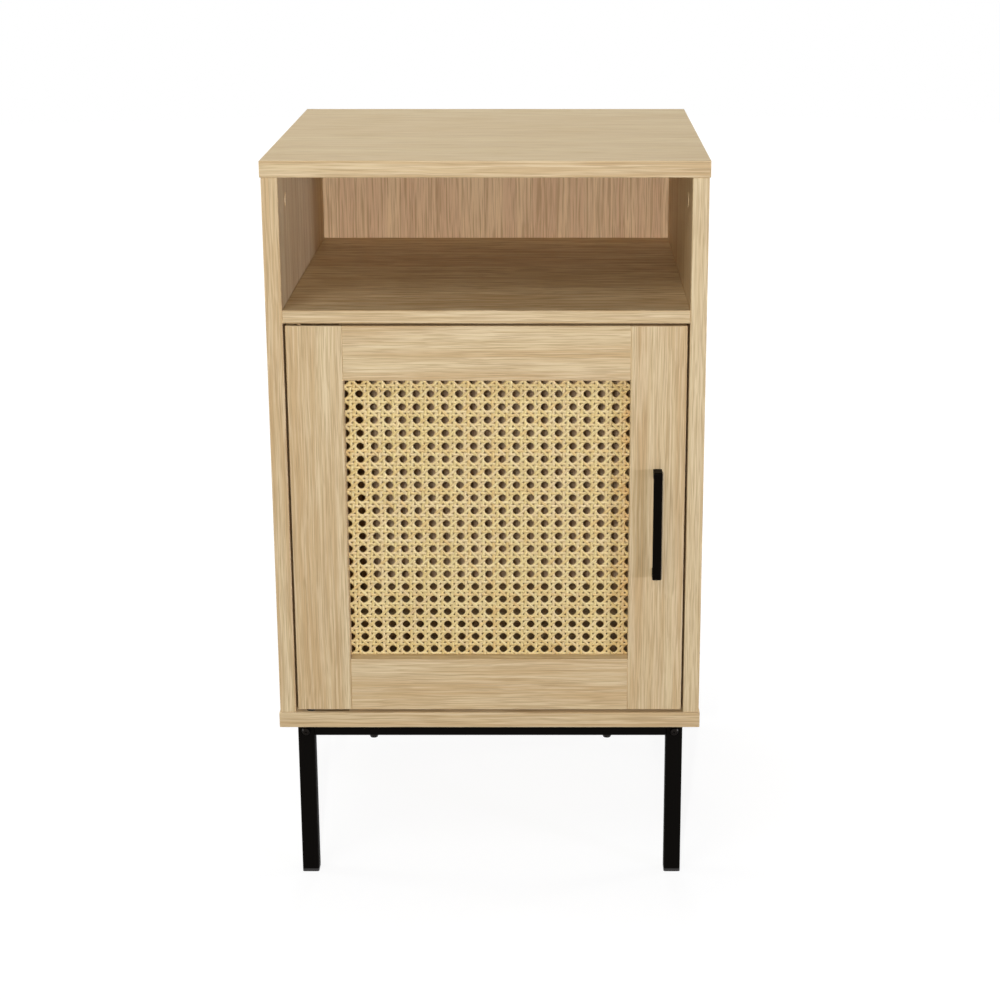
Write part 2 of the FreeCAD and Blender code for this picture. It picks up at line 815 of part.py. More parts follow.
def make_handle():
    """Bridge handle of square bar, screwed from inside the door."""
    body = new_body("handle")
    bar_front = door_front - d.handle_out
    bar_back = bar_front + d.handle_bar
    corners = (
        (door_front, handle_low),
        (bar_front, handle_low),
        (bar_front, handle_high),
        (door_front, handle_high),
        (door_front, handle_high - d.handle_width),
        (bar_back, handle_high - d.handle_width),
        (bar_back, handle_low + d.handle_width),
        (door_front, handle_low + d.handle_width),
    )
    half = d.handle_width / 2
    pad = extrude(body, corners, "X", handle_x - half, handle_x + half)
    front_edge = bar_front.value + 0.01
    ends = edges_where(
        pad,
        lambda edge: abs(edge.tangentAt(0).x) > 0.9 and edge.BoundBox.YMax < front_edge,
    )
    bridge = fillet(body, pad, ends, d.handle_corner)
    door_edge = door_front.value - 0.01
    rim = edges_where(
        bridge,
        lambda edge: edge.BoundBox.XLength < 0.01 and edge.BoundBox.YMin < door_edge,
    )
    chamfer(body, bridge, rim, d.handle_edge)
    for z in handle_posts:
        radius = d.handle_screw + d.thread_play
        drill(body, (handle_x, door_front, z), "-Y", radius, d.handle_thread)
    keep(body, "handle")

    screw = new_body("handle_screw_pattern")
    length = d.door_thickness + d.handle_thread - d.handle_screw / 2
    turn(
        screw,
        (
            (0, -d.pan_height),
            (d.pan_radius * 0.8, -d.pan_height),
            (d.pan_radius, 0),
            (d.handle_screw, 0),
            (d.handle_screw, length),
            (0, length),
        ),
    )
    group("handle_screws", screw, [((handle_x, door_back, z), "-Y") for z in handle_posts])


# ---------------------------------------------------------------- pivot hinges and catch


def make_leaf(name, z, hole, face, towards):
    """Hinge leaf: a strip with a round end on the pivot axis and two countersunk holes."""
    body = new_body(name)
    half = d.leaf_width / 2
    x = (pivot_x, pivot_x + d.leaf_length)
    extrude(body, rectangle(x, (pivot_y - half, pivot_y + half)), "Z", z[0], z[1])
    add_cylinder(body, (pivot_x, pivot_y, z[0]), "+Z", half, z[1] - z[0])
    drill(body, (pivot_x, pivot_y, z[0]), "+Z", hole, d.leaf_thickness)
    for screw_x in leaf_screws:
        point = (screw_x, pivot_y, face)
        countersink(body, point, towards, d.screw_sink, d.screw_hole, d.leaf_thickness)
    keep(body, name)


def make_ring(name, low, high, outer, inner):
    """Pin or washer on the pivot axis."""
    body = new_body(name)
    add_cylinder(body, (pivot_x, pivot_y, low), "+Z", outer, high - low)
    if inner is not None:
        drill(body, (pivot_x, pivot_y, low), "+Z", inner, high - low)
    keep(body, name)


def make_pivot_hinges():
    turning = d.pin_radius + d.pin_play
    thick = d.leaf_thickness
    make_leaf("lower_case_leaf", (floor - thick, floor), d.pin_radius, floor, "-Z")
    make_leaf("lower_door_leaf", (door_low, door_low + thick), turning, door_low, "+Z")
    make_leaf("upper_door_leaf", (door_high - thick, door_high), turning, door_high, "-Z")
    make_leaf("upper_case_leaf", (shelf_low, shelf_low + thick), d.pin_radius, shelf_low, "+Z")
    make_ring("lower_hinge_pin", floor - thick, door_low + thick - d.fit, d.pin_radius, None)
    make_ring("upper_hinge_pin", door_high - thick + d.fit, shelf_low + thick, d.pin_radius, None)
    washer = (d.leaf_width / 2, d.pin_radius + d.fit)
    make_ring("lower_hinge_washer", floor, door_low - d.washer_play, *washer)


def make_catch():
    """Magnetic catch under the divider shelf, and its strike plate on the door."""
    housing = new_body("catch_housing")
    left, right = catch_x - d.catch_length / 2, catch_x + d.catch_length / 2
    block_left, block_right = catch_x - d.catch_block / 2, catch_x + d.catch_block / 2
    ear, bottom = shelf_low - d.catch_ear, shelf_low - d.catch_height
    hat = (
        (left, ear),
        (block_left, ear),
        (block_left, bottom),
        (block_right, bottom),
        (block_right, ear),
        (right, ear),
        (right, shelf_low),
        (left, shelf_low),
    )
    extrude(housing, hat, "Y", catch_front, catch_rear)
    half = d.magnet_height / 2
    across = (catch_x - d.magnet_length / 2, catch_x + d.magnet_length / 2)
    pocket_end = catch_front + d.magnet_depth
    stack = (pole_mid - half - d.pole_thickness, pole_mid + half + d.pole_thickness)
    cut_box(housing, across, (catch_front, pocket_end), stack)
    for side in (-1, 1):
        point = (catch_x + one(catch_screw_x, side), catch_mid, ear)
        countersink(housing, point, "+Z", d.screw_sink, d.screw_hole, d.catch_ear)
    keep(housing, "catch_housing")

    magnet = new_body("catch_magnet")
    inside = (catch_front + d.fit, pocket_end)
    extrude(magnet, rectangle(across, inside), "Z", pole_mid - half, pole_mid + half)
    keep(magnet, "catch_magnet")

    plates = []
    for name, low in (("lower", stack[0]), ("upper", pole_mid + half)):
        plate = new_body(f"{name}_pole_pattern")
        outline = rectangle(across, (pole_front, pocket_end))
        extrude(plate, outline, "Z", low, low + d.pole_thickness)
        plates.append(plate)
    poles = doc.addObject("Part::Compound", "catch_poles")
    poles.Links = plates
    keep(poles, "catch_poles")

    strike = new_body("strike_plate")
    x = (catch_x - d.strike_length / 2, catch_x + d.strike_length / 2)
    z = (pole_mid - d.strike_height / 2, pole_mid + d.strike_height / 2)
    extrude(strike, rectangle(x, z), "Y", door_back, strike_back)
    point = (catch_x, strike_back, pole_mid)
    countersink(strike, point, "-Y", d.screw_sink, d.screw_hole, d.strike_thickness)
    keep(strike, "strike_plate")


# ---------------------------------------------------------------- build, check and write


def faults():
    """Failed objects, bad shapes, and cuts that took nothing away."""
    found = []
    for item in doc.Objects:
        if {"Invalid", "Error"} & set(item.State):
            found.append(f"{item.Name}: {', '.join(item.State)}")
        if item.TypeId.startswith("PartDesign::Subtractive"):
            taken = item.BaseFeature.Shape.Volume - item.Shape.Volume
            if taken < 1e-3:
                found.append(f"{item.Name}: cuts nothing")
    for item in nodes:
        if item.Shape.isNull() or not item.Shape.isValid() or not item.Shape.Solids:
            found.append(f"{item.Label}: no valid solid")
    return found


make_top_panel()
make_bottom_panel()
make_side_panel("left_side_panel", -1)
make_side_panel("right_side_panel", 1)
make_divider_shelf()
make_back_panel()
make_cams()
make_cam_bolts()
make_case_screws()
make_panel_dowels()
make_leg_frame()
make_door_frame()
make_cane_and_beads()
make_handle()
make_pivot_hinges()
make_catch()
doc.recompute()

problems = faults()
if problems:
    raise RuntimeError("\n".join(problems))

os.makedirs("parts", exist_ok=True)
for item in nodes:
    item.Shape.exportStep(f"parts/{item.Label}.step")
print(f"{len(nodes)} sub-parts, {sum(len(item.Shape.Solids) for item in nodes)} solids")
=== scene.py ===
# %% [markdown]
# # A cabinet side table with a woven cane door
#
# The construction comes in as a fixed frame: boards, steel legs, hinges and screws, each a named node in metres.
# This script gives every node its finish, weaves the cane that fills the door, adds the small wood screws, and
# sets up the floor, the light and the camera.

# %% Load the frame
import json
import math
import random

import bmesh
import bpy
from mathutils import Matrix, Vector


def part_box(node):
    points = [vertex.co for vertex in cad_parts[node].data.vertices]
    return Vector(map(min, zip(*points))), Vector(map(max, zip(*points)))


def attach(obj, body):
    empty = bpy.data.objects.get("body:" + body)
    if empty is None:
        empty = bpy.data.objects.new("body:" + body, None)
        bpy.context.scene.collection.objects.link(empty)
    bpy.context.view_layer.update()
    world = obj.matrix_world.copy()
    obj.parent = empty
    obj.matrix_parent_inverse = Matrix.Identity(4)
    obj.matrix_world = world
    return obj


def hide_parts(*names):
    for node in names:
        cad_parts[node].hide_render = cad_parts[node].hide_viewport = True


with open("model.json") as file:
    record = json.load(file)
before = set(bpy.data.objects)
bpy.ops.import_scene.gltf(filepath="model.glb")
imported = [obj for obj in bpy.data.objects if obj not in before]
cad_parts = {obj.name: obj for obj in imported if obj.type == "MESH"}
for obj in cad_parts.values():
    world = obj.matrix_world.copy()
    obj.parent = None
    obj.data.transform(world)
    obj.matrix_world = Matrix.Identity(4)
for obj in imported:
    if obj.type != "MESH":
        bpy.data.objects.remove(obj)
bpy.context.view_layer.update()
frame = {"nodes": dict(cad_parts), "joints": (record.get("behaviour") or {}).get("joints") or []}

MM = 0.001

# %% [markdown]
# ## Helpers
#
# Colours are picked on a screen as sRGB hex values, but a renderer adds and multiplies light, which only works on
# linear numbers. One function turns the one into the other.
#
# A material is a small graph of nodes. Instead of a function for every kind of node, one function adds any node,
# sets its options and joins its inputs, so each material reads as a short list of what it is made of.

# %% Colour and node helpers
def linear(hex_colour):
    """Linear colour of an sRGB hex value such as "c8b48c"."""
    channels = [int(hex_colour[i : i + 2], 16) / 255 for i in (0, 2, 4)]
    return [c / 12.92 if c <= 0.04045 else ((c + 0.055) / 1.055) ** 2.4 for c in channels] + [1.0]


def add(tree, kind, sockets=None, **options):
    """A node with its options set and its sockets given a value or joined to another node's output."""
    node = tree.nodes.new(kind)
    for name, value in options.items():
        setattr(node, name, value)
    for name, value in (sockets or {}).items():
        if isinstance(value, bpy.types.NodeSocket):
            tree.links.new(value, node.inputs[name])
        else:
            node.inputs[name].default_value = value
    return node


def empty_tree(owner):
    """The node tree of a material or a world, cleared."""
    owner.use_nodes = True
    owner.node_tree.nodes.clear()
    return owner.node_tree


def new_finish(name):
    """A material, its node tree and its surface shader, still without settings."""
    material = bpy.data.materials.new(name)
    tree = empty_tree(material)
    shader = add(tree, "ShaderNodeBsdfPrincipled")
    add(tree, "ShaderNodeOutputMaterial", {"Surface": shader.outputs["BSDF"]})
    return material, tree, shader


def paint_over(tree, colour, over, *factors):
    """The colour with another laid over it, as strongly as all the factors multiplied."""
    share = factors[0]
    for factor in factors[1:]:
        share = add(tree, "ShaderNodeMath", {0: share, 1: factor}, operation="MULTIPLY").outputs[0]
    return add(tree, "ShaderNodeMix", {0: share, 6: colour, 7: over}, data_type="RGBA").outputs[2]


# %% Objects and finishes
finished = set()


def finish_node(node, material):
    """Gives a node of the frame its finish."""
    for slot in frame["nodes"][node].material_slots:
        slot.material = material
    finished.add(node)


def new_object(name, data):
    """A new object in the scene, for a mesh, a lamp or a camera."""
    made = bpy.data.objects.new(name, data)
    bpy.context.scene.collection.objects.link(made)
    return made


def mesh_object(name, bm, material):
    """A new object with the bmesh's shape and one material. The bmesh is used up."""
    mesh = bpy.data.meshes.new(name)
    bm.to_mesh(mesh)
    bm.free()
    mesh.materials.append(material)
    return new_object(name, mesh)


def triangles(piece):
    """Number of triangles in a piece's mesh."""
    return sum(len(face.vertices) - 2 for face in piece.data.polygons)


# %% [markdown]
# ## Oak-look laminate
#
# The boards are particle board under a printed oak foil. The print shows what sawn oak shows: broad soft bands of
# tone, and over them close, slightly wavy grain lines with fine dark pores between. It could be a scan wrapped on the
# board, but noise that is squeezed across the grain and stretched along it gives the same picture at any size and
# never repeats. A slow noise first pushes the lines a little to and fro, as a tree's rings do. Real pores are 0.2 to
# 0.3 mm wide. The finest lines here are 0.85 mm, so that they show.
#
# The grain runs the long way of each board. Where a board ends, an edge band is ironed on, and its grain runs along
# that edge instead. The surface's own normal says which face is which, so one material dresses the whole board. The
# wide level faces are cut flat from the log and show broader lines than the narrow edges. The top's are faint and the
# shelf's strong, so the normal also sets the contrast.

# %% Which way a face looks
FACING = 0.7  # a face looks along an axis where its normal has more than this along it


def turned_to(tree, axis):
    """1 on the faces that look along the axis, either way, and 0 on the others."""
    place = add(tree, "ShaderNodeTexCoord")
    sides = add(tree, "ShaderNodeSeparateXYZ", {"Vector": place.outputs["Normal"]})
    facing = add(tree, "ShaderNodeMath", {0: sides.outputs[axis]}, operation="ABSOLUTE")
    return add(tree, "ShaderNodeMath", {0: facing.outputs[0], 1: FACING}, operation="GREATER_THAN").outputs[0]


# %% Grain along each board
GRAIN_DRAW = 52  # a grain line is this many times longer than it is wide
RING_SWAY = 1.6  # mm by which the lines stray sideways
RING_LENGTH = 90  # mm over which they do so
AXES = {"X": 0, "Y": 1, "Z": 2}


def grain_space(tree, grain, edge_grain, shift, spread=1.0):
    """Position in mm, squeezed along the grain, and along the edge band on the faces that end the board.

    The shift in mm keeps two boards from showing the same grain. The spread sets the lines of a level face that many
    times further apart, front to back.
    """
    place = add(tree, "ShaderNodeTexCoord")
    slow = {"Vector": place.outputs["Object"], "Scale": 1 / (RING_LENGTH * MM), "Detail": 2.0}
    slow = add(tree, "ShaderNodeTexNoise", slow)
    sway = {0: slow.outputs["Color"], 1: (0.5, 0.5, 0.5)}
    sway = add(tree, "ShaderNodeVectorMath", sway, operation="SUBTRACT")
    sway = {0: sway.outputs["Vector"], "Scale": RING_SWAY * 2 * MM}
    sway = add(tree, "ShaderNodeVectorMath", sway, operation="SCALE")
    swayed = {0: place.outputs["Object"], 1: sway.outputs["Vector"]}
    swayed = add(tree, "ShaderNodeVectorMath", swayed, operation="ADD")
    vectors = []
    for axis in (grain, edge_grain):
        scale = [1 / MM, 1 / MM, 1 / MM]
        scale[AXES[axis]] /= GRAIN_DRAW
        scale[AXES["Y"]] /= spread
        sockets = {"Vector": swayed.outputs["Vector"], "Scale": scale, "Location": (shift, shift, shift)}
        vectors.append(add(tree, "ShaderNodeMapping", sockets).outputs["Vector"])
    mixed = {"Factor": turned_to(tree, grain), "A": vectors[0], "B": vectors[1]}
    return add(tree, "ShaderNodeMix", mixed, data_type="VECTOR").outputs[1]


# %% Oak laminate
def tone(tree, space, width, low, high, detail=2.0, sway=0.0):
    """Noise with features of the width, in the units of the space, cut to run from 0 at low to 1 at high."""
    sockets = {"Vector": space, "Scale": 1 / width, "Detail": detail, "Roughness": 0.55, "Distortion": sway}
    noise = add(tree, "ShaderNodeTexNoise", sockets)
    sockets = {"Value": noise.outputs["Fac"], "From Min": low, "From Max": high}
    return add(tree, "ShaderNodeMapRange", sockets, interpolation_type="SMOOTHSTEP").outputs["Result"]


def oak_laminate(name, grain, edge_grain, shift, spread, level_contrast):
    """Satin oak foil. Its level faces have more or less contrast than the others, which have 1."""
    material, tree, shader = new_finish(name)
    space = grain_space(tree, grain, edge_grain, shift, spread)
    contrast = {"Value": turned_to(tree, "Z"), "To Min": 1.0, "To Max": level_contrast}
    contrast = add(tree, "ShaderNodeMapRange", contrast).outputs[0]
    bands = tone(tree, space, width=16, low=0.38, high=0.62, detail=3.0)
    pale_lines = tone(tree, space, width=2.3, low=0.44, high=0.61)
    streaks = tone(tree, space, width=1.45, low=0.44, high=0.66, detail=3.0)
    pores = tone(tree, space, width=0.85, low=0.46, high=0.64)
    colour = paint_over(tree, linear("dec79b"), linear("ceaf80"), bands, contrast)
    colour = paint_over(tree, colour, linear("ebd6ae"), pale_lines, 0.48, contrast)
    colour = paint_over(tree, colour, linear("b8986c"), streaks, 0.32, contrast)
    colour = paint_over(tree, colour, linear("ac8d61"), pores, 0.52, contrast)
    tree.links.new(colour, shader.inputs["Base Color"])
    rough = add(tree, "ShaderNodeMapRange", {"Value": streaks, "To Min": 0.50, "To Max": 0.62})
    tree.links.new(rough.outputs["Result"], shader.inputs["Roughness"])
    relief = {"Height": pores, "Strength": 0.12, "Distance": 0.05 * MM}
    relief = add(tree, "ShaderNodeBump", relief, invert=True)
    tree.links.new(relief.outputs["Normal"], shader.inputs["Normal"])
    shader.inputs["Specular IOR Level"].default_value = 0.3
    return material


OAK_BOARDS = {  # node: (grain, grain of the edge band, shift, spread, contrast of the level faces)
    "top_panel": ("X", "Y", 19.0, 3.0, 0.35),
    "bottom_panel": ("X", "Y", 71.0, 2.5, 1.0),
    "divider_shelf": ("X", "Y", 137.0, 2.2, 1.5),
    "left_side_panel": ("Z", "Y", 211.0, 1.0, 1.0),
    "right_side_panel": ("Z", "Y", 307.0, 1.0, 1.0),
    "door_stile_left": ("Z", "X", 401.0, 1.0, 1.0),
    "door_stile_right": ("Z", "X", 503.0, 1.0, 1.0),
    "door_rail_bottom": ("X", "Z", 601.0, 1.0, 1.0),
    "door_rail_top": ("X", "Z", 701.0, 1.0, 1.0),
}
for node, pattern in OAK_BOARDS.items():
    finish_node(node, oak_laminate(f"oak_laminate_{node}", *pattern))
print("boards in oak laminate:", len(OAK_BOARDS))

# %% [markdown]
# ## Back panel
#
# The back is a thin hardboard sheet in grooves. Its inner face has the same oak print, here with stronger streaks, and
# its colours are painted lighter than on the boards, as painted light on the back of the open shelf.
# The outer face is the bare board: brown, matt and slightly fibrous. The normal tells the two faces apart.

# %% Back panel
def back_board(name):
    """Oak print towards the front, bare hardboard towards the rear."""
    material, tree, shader = new_finish(name)
    space = grain_space(tree, "Z", "X", shift=811.0)
    bands = tone(tree, space, width=12, low=0.38, high=0.62, detail=3.0)
    streaks = tone(tree, space, width=1.5, low=0.46, high=0.64, sway=0.3)
    fibres = tone(tree, space, width=0.9, low=0.46, high=0.70)
    # lighter than the boards' print: painted light on the back of the open shelf
    oak = paint_over(tree, linear("eecfa4"), linear("e4c098"), bands)
    oak = paint_over(tree, oak, linear("b48c60"), streaks, 0.62)
    oak = paint_over(tree, oak, linear("a57e56"), fibres, 0.35)
    place = add(tree, "ShaderNodeTexCoord")
    pulp = {"Vector": place.outputs["Object"], "Scale": 1 / (2.5 * MM), "Detail": 4.0}
    pulp = add(tree, "ShaderNodeTexNoise", pulp).outputs["Fac"]
    bare = paint_over(tree, linear("8a6a4a"), linear("a5825c"), pulp)
    sides = add(tree, "ShaderNodeSeparateXYZ", {"Vector": place.outputs["Normal"]})
    rear = add(tree, "ShaderNodeMath", {0: sides.outputs["Y"], 1: FACING}, operation="GREATER_THAN")
    tree.links.new(paint_over(tree, oak, bare, rear.outputs[0]), shader.inputs["Base Color"])
    shader.inputs["Roughness"].default_value = 0.6
    felt = add(tree, "ShaderNodeBump", {"Height": pulp, "Strength": 0.15, "Distance": 0.1 * MM})
    tree.links.new(felt.outputs["Normal"], shader.inputs["Normal"])
    return material


finish_node("back_panel", back_board("oak_print_hardboard"))
print("back panel in oak print, bare behind")

# %% [markdown]
# ## Black powder coat
#
# The leg frame is square steel tube with a baked powder coat: a black that is never quite black, matt, with the
# faint orange peel that the melted powder leaves. The peel is drawn at 1.2 mm, coarser than the real one, so that it
# shows at all. The door's handle has the same coat, smoother and a little glossier.

# %% Powder coat
COAT_DRIFT = 0.06  # the coat's roughness wanders this much either way
COAT_DRIFT_LENGTH = 40 * MM  # over about this length
CORNERS = ("front_left", "front_right", "rear_left", "rear_right")
RAILS = ("front_rail", "rear_rail", "left_side_rail", "right_side_rail")


def powder_coat(name, colour, roughness, gloss, peel_mm, peel_strength):
    """Thick black paint on steel: no bare metal shows, so it isn't metallic."""
    material, tree, shader = new_finish(name)
    place = add(tree, "ShaderNodeTexCoord")
    peel = {"Vector": place.outputs["Object"], "Scale": 1 / (peel_mm * MM), "Detail": 2.0}
    peel = add(tree, "ShaderNodeTexNoise", peel)
    cloud = {"Vector": place.outputs["Object"], "Scale": 1 / COAT_DRIFT_LENGTH}
    cloud = add(tree, "ShaderNodeTexNoise", cloud)
    rough = {"Value": cloud.outputs["Fac"], "To Min": roughness - COAT_DRIFT, "To Max": roughness + COAT_DRIFT}
    rough = add(tree, "ShaderNodeMapRange", rough)
    tree.links.new(rough.outputs["Result"], shader.inputs["Roughness"])
    skin = {"Height": peel.outputs["Fac"], "Strength": peel_strength, "Distance": 0.08 * MM}
    skin = add(tree, "ShaderNodeBump", skin)
    tree.links.new(skin.outputs["Normal"], shader.inputs["Normal"])
    shader.inputs["Base Color"].default_value = linear(colour)
    shader.inputs["Specular IOR Level"].default_value = gloss
    return material


frame_coat = powder_coat(
    "powder_coat_matt_black", "090705", roughness=0.6, gloss=0.03, peel_mm=1.2, peel_strength=0.25
)
handle_coat = powder_coat(
    "powder_coat_satin_black", "070503", roughness=0.45, gloss=0.02, peel_mm=0.8, peel_strength=0.12
)
for corner in CORNERS:
    finish_node(f"{corner}_leg", frame_coat)
for rail in RAILS:
    finish_node(rail, frame_coat)
finish_node("handle", handle_coat)
print("legs and rails in powder coat:", len(CORNERS) + len(RAILS))

# %% [markdown]
# ## Small metal and plastic
#
# Zinc plate is bright and a little cloudy, because the crystals take up a grey film. Other fittings are blackened, or
# of dull grey ferrite. They differ in colour and gloss, not in kind, so one short function makes every bare metal.
#
# A second one makes what has a coloured skin: the moulded feet, covers and catch, the nylon washer, and the hinge
# leaves with their pins and screws. Those have a bronze lacquer near the boards' colour, so that they don't stand out
# in the gap round the door. The spark texture of a mould is about 0.1 mm. It is drawn at 0.4 to 0.8 mm, so that it
# breaks the gloss at all.

# %% Metals
METAL_DRIFT = (-0.10, 0.12)  # the roughness wanders between these, from place to place


def bare_metal(name, colour, roughness, cloud_mm):
    """Plated, blackened or sintered metal, with gloss that drifts in clouds of the given size."""
    material, tree, shader = new_finish(name)
    place = add(tree, "ShaderNodeTexCoord")
    cloud = {"Vector": place.outputs["Object"], "Scale": 1 / (cloud_mm * MM), "Detail": 3.0}
    cloud = add(tree, "ShaderNodeTexNoise", cloud).outputs["Fac"]
    smoothest, roughest = [roughness + drift for drift in METAL_DRIFT]
    rough = add(tree, "ShaderNodeMapRange", {"Value": cloud, "To Min": smoothest, "To Max": roughest})
    tree.links.new(rough.outputs["Result"], shader.inputs["Roughness"])
    shader.inputs["Base Color"].default_value = linear(colour)
    shader.inputs["Metallic"].default_value = 1.0
    return material


zinc_plate = bare_metal("zinc_plated_steel", "b2b3b2", roughness=0.34, cloud_mm=2.0)
screw_black = bare_metal("blackened_screw_steel", "1f1c1a", roughness=0.36, cloud_mm=1.5)
magnet_ferrite = bare_metal("ferrite_magnet", "4a4845", roughness=0.62, cloud_mm=1.0)
print("metals:", [metal.name for metal in (zinc_plate, screw_black, magnet_ferrite)])

# %% Plastic and lacquer
def coloured_skin(name, colour, roughness, grain_mm):
    """Moulded plastic or lacquer: a fine grain breaks its gloss."""
    material, tree, shader = new_finish(name)
    place = add(tree, "ShaderNodeTexCoord")
    grain = {"Vector": place.outputs["Object"], "Scale": 1 / (grain_mm * MM), "Detail": 2.0}
    grain = add(tree, "ShaderNodeTexNoise", grain)
    skin = {"Height": grain.outputs["Fac"], "Strength": 0.15, "Distance": 0.05 * MM}
    skin = add(tree, "ShaderNodeBump", skin)
    tree.links.new(skin.outputs["Normal"], shader.inputs["Normal"])
    shader.inputs["Base Color"].default_value = linear(colour)
    shader.inputs["Roughness"].default_value = roughness
    return material


foot_plastic = coloured_skin("moulded_foot_plastic", "14110f", roughness=0.5, grain_mm=0.6)
cover_plastic = coloured_skin("moulded_cover_plastic", "c9ae84", roughness=0.45, grain_mm=0.6)
catch_plastic = coloured_skin("moulded_catch_plastic", "e6e3dc", roughness=0.4, grain_mm=0.6)
leaf_steel = coloured_skin("bronze_lacquered_steel", "9c7f58", roughness=0.45, grain_mm=0.8)
washer_nylon = coloured_skin("black_nylon", "1a1613", roughness=0.5, grain_mm=0.4)
print("skins:", [skin.name for skin in (foot_plastic, cover_plastic, catch_plastic, leaf_steel, washer_nylon)])

# %% Small parts
SMALL_PARTS = {
    "cam_locks": zinc_plate,
    "cam_covers": cover_plastic,
    "cam_bolts": zinc_plate,
    "case_screws": zinc_plate,
    "frame_bolts": screw_black,
    "mounting_screws": screw_black,
    "handle_screws": zinc_plate,
    "rail_plugs": foot_plastic,
    "lower_case_leaf": leaf_steel,
    "upper_case_leaf": leaf_steel,
    "lower_door_leaf": leaf_steel,
    "upper_door_leaf": leaf_steel,
    "lower_hinge_pin": leaf_steel,
    "upper_hinge_pin": leaf_steel,
    "lower_hinge_washer": washer_nylon,
    "catch_housing": catch_plastic,
    "catch_magnet": magnet_ferrite,
    "catch_poles": zinc_plate,
    "strike_plate": zinc_plate,
}
for corner in CORNERS:
    SMALL_PARTS[f"{corner}_foot_cap"] = foot_plastic
for node, material in SMALL_PARTS.items():
    finish_node(node, material)
print("small parts finished:", len(SMALL_PARTS))

# %% [markdown]
# ## Beech dowels and beads
#
# The dowels and the beads behind the cane are solid beech: pale, slightly pink, and flecked with short darker rays.
# The rays are short dashes along the grain, so the same stretched noise is used with less stretch. They are drawn at
# 0.8 mm, about twice their real width, so that they show.

# %% Beech
RAY_DRAW = 8  # a ray is this many times longer than it is wide


def beech(name, grain):
    """Sanded beech without a finish."""
    material, tree, shader = new_finish(name)
    place = add(tree, "ShaderNodeTexCoord")
    scale = [1 / MM, 1 / MM, 1 / MM]
    scale[AXES[grain]] /= RAY_DRAW
    space = {"Vector": place.outputs["Object"], "Scale": scale}
    space = add(tree, "ShaderNodeMapping", space).outputs["Vector"]
    rays = tone(tree, space, width=0.8, low=0.55, high=0.75)
    bands = tone(tree, space, width=4, low=0.3, high=0.7)
    colour = paint_over(tree, linear("dcbf94"), linear("d0ae80"), bands)
    colour = paint_over(tree, colour, linear("a97e52"), rays, 0.6)
    tree.links.new(colour, shader.inputs["Base Color"])
    shader.inputs["Roughness"].default_value = 0.6
    return material


beech_upright = beech("beech_upright", "Z")
beech_level = beech("beech_level", "X")
for node in ("cane_bead_left", "cane_bead_right", "panel_dowels"):
    finish_node(node, beech_upright)
for node in ("cane_bead_bottom", "cane_bead_top"):
    finish_node(node, beech_level)
print("nodes without a finish:", sorted(set(frame["nodes"]) - finished))

# %% [markdown]
# ## Cane
#
# The door is filled with six-way cane: strips of rattan bark woven in pairs up and across, with single strips along
# both diagonals. Where the strips leave a gap, an eight-sided hole stays open, and the inside of the cabinet shows
# through. An image with holes would be flat, so each strip is modelled: a thin ribbon that dips under some of its
# neighbours and rises over the others.
#
# A wave along the ribbon gives that rise and fall. Up and across, the two strips of a pair wave the opposite way,
# which is a plain weave. One diagonal rides over the uprights and dips under the level strips, and the other does
# the reverse. Every strip is its own grid, bent by its wave and then given its thickness.

# %% Weave measures
CANE_PITCH_X = 13.1 * MM  # from hole to hole, across
CANE_PITCH_Z = 12.5 * MM  # from hole to hole, upwards
FIRST_HOLE_Z = 233.7 * MM  # height of the lowest row of holes
STRIP_WIDTH_UP = 3.0 * MM
STRIP_WIDTH_LEVEL = 2.85 * MM
STRIP_WIDTH_DIAGONAL = 2.6 * MM
STRIP_THICKNESS = 0.16 * MM
PAIR_OPENING = 1.5 * MM  # between the two strips of a pair, where they leave the crossing
STRIP_CROWN = 0.04 * MM  # how much the middle of a strip stands above its edges
PAIR_WAVE = 0.14 * MM  # rise of an upright or level strip
DIAGONAL_WAVE = 0.24 * MM  # rise of a diagonal one
STRIP_STEPS = 12  # grid steps for each pitch
CANE_INSET = 0.3 * MM  # the strips end this much inside the sheet's edge

cane_low, cane_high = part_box("cane_panel")
cane_middle_y = (cane_low.y + cane_high.y) / 2
strip_x = (cane_low.x + CANE_INSET, cane_high.x - CANE_INSET)
strip_z = (cane_low.z + CANE_INSET, cane_high.z - CANE_INSET)
print("cane field in mm:", [round(side / MM, 1) for side in cane_high - cane_low])

# %% One strip
FEWEST_STEPS = 4  # for the short strips in the corners


def lay_strip(bm, tints, start, end, width, wave, sway, tint):
    """Ribbon from start to end, both (x, z), raised by the wave and moved sideways by the sway along its middle."""
    run = Vector((end[0] - start[0], end[1] - start[1]))
    along = run.normalized()
    across = Vector((-along.y, along.x))
    steps = max(FEWEST_STEPS, round(run.length / CANE_PITCH_X * STRIP_STEPS))
    grid = bmesh.ops.create_grid(bm, x_segments=steps, y_segments=2, size=0.5)
    for vert in grid["verts"]:
        middle = Vector(start) + run * (vert.co.x + 0.5)
        place = middle + across * (vert.co.y * width + sway(middle))
        lift = wave(middle) + STRIP_CROWN * (1 - (2 * vert.co.y) ** 2)
        vert.co = (place.x, cane_middle_y - lift, place.y)
        vert[tints] = tint


def pitches(place):
    """Place in the weave, counted in pitches from the middle hole of the lowest row."""
    return place.x / CANE_PITCH_X, (place.y - FIRST_HOLE_Z) / CANE_PITCH_Z


# %% A set of strips
chance = random.Random(7)  # draws one tint for each strip


